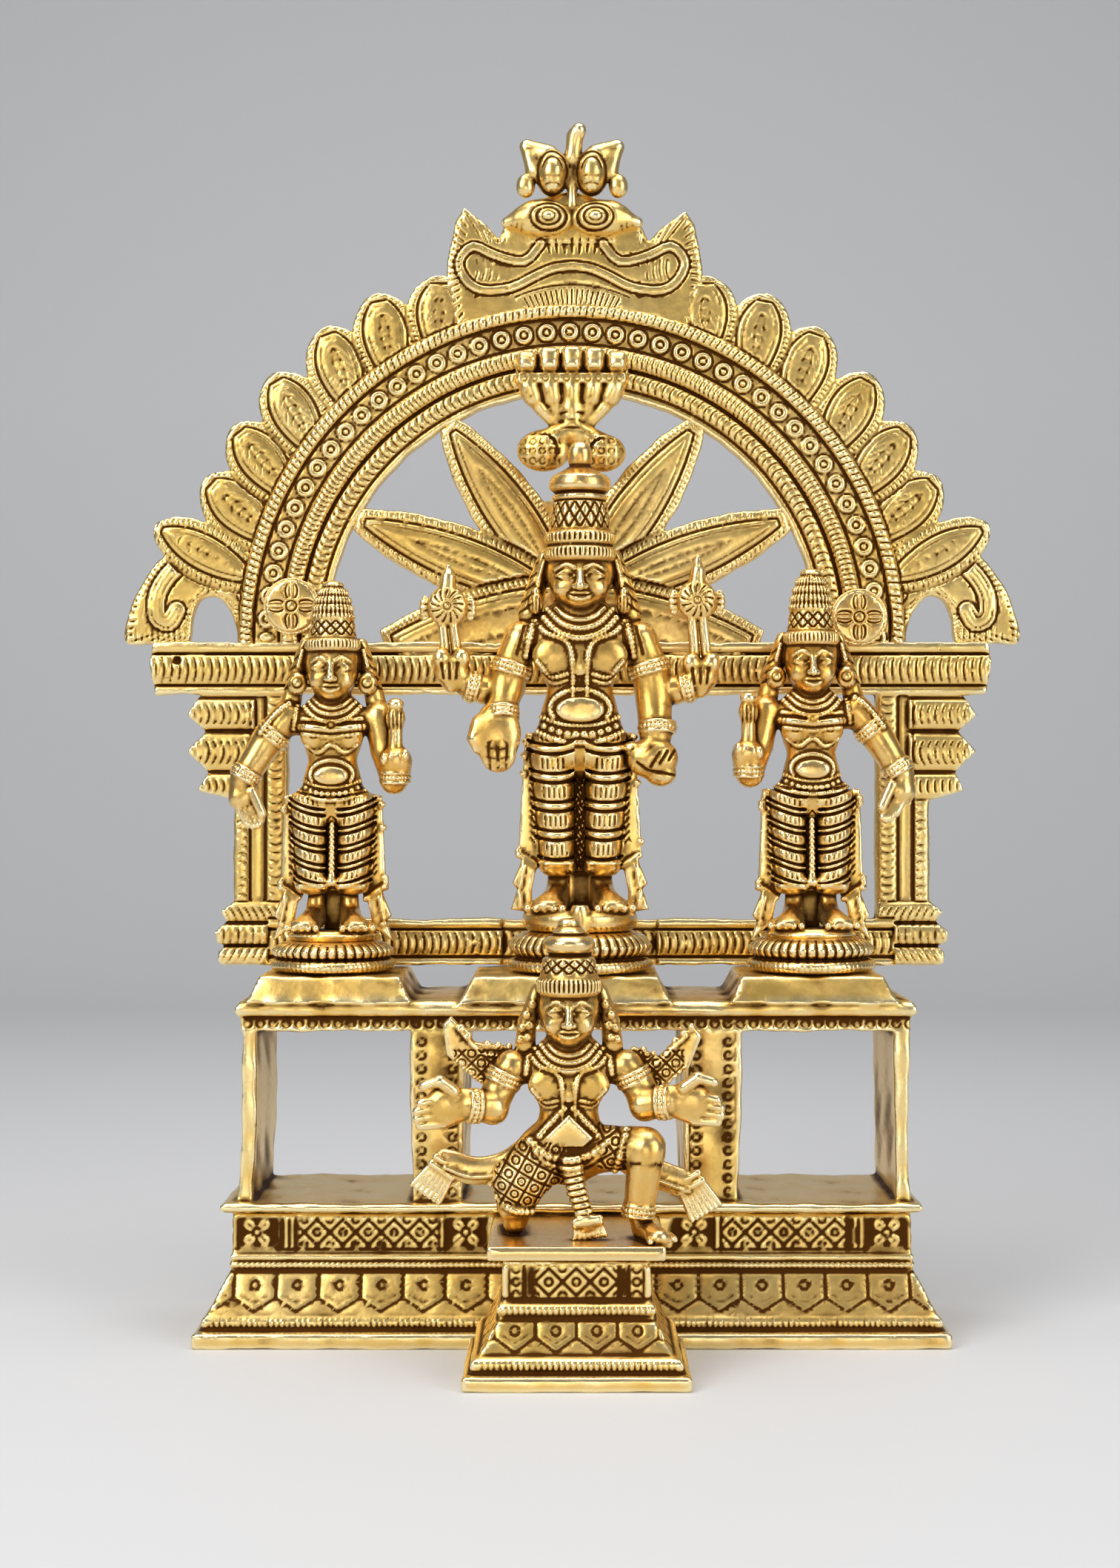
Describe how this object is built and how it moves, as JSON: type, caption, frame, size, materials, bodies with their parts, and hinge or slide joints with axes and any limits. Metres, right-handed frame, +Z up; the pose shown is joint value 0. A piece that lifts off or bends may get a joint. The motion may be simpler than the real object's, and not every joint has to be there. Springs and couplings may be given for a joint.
{
  "type": "brass shrine group",
  "caption": "Cast brass shrine group: standing deity figures on lotus pedestals, a kneeling attendant and an open stepped stand, with a lift-out leaf-edged arch.",
  "frame": {"origin": "middle of the underside of the base and front step", "axes": "+Z up, +X to the viewer's right, the front faces -Y"},
  "size_m": [0.23, 0.1, 0.3045],
  "materials": {
    "pale_brass": "polished cast brass, pale on the high spots, dark patina in the cuts",
    "warm_brass": "cast brass, warm gold, dark patina in the cuts, polished high spots",
    "pin_brass": "plain turned brass"
  },
  "bodies": {
    "pedestal": {"base_plinth": "pale_brass", "front_step": "pale_brass", "open_stand": "pale_brass", "kneeling_attendant": "warm_brass", "attendant_screw": "pin_brass", "left_lotus": "warm_brass", "centre_lotus": "warm_brass", "right_lotus": "warm_brass", "left_pin": "pin_brass", "centre_pin": "pin_brass", "right_pin": "pin_brass", "centre_figure": "warm_brass", "left_rear_arm": "warm_brass", "right_rear_arm": "warm_brass", "left_figure": "warm_brass", "right_figure": "warm_brass"},
    "arch": {"arch_frame": "pale_brass", "left_rosette": "warm_brass", "right_rosette": "warm_brass", "serpent_hood": "pale_brass", "lion_mask": "pale_brass"}
  },
  "joints": [
    {"name": "arch_lift", "type": "slide", "parent": "pedestal", "child": "arch", "axis": [0, 0, 1], "range_m": [0, 0.012]}
  ]
}
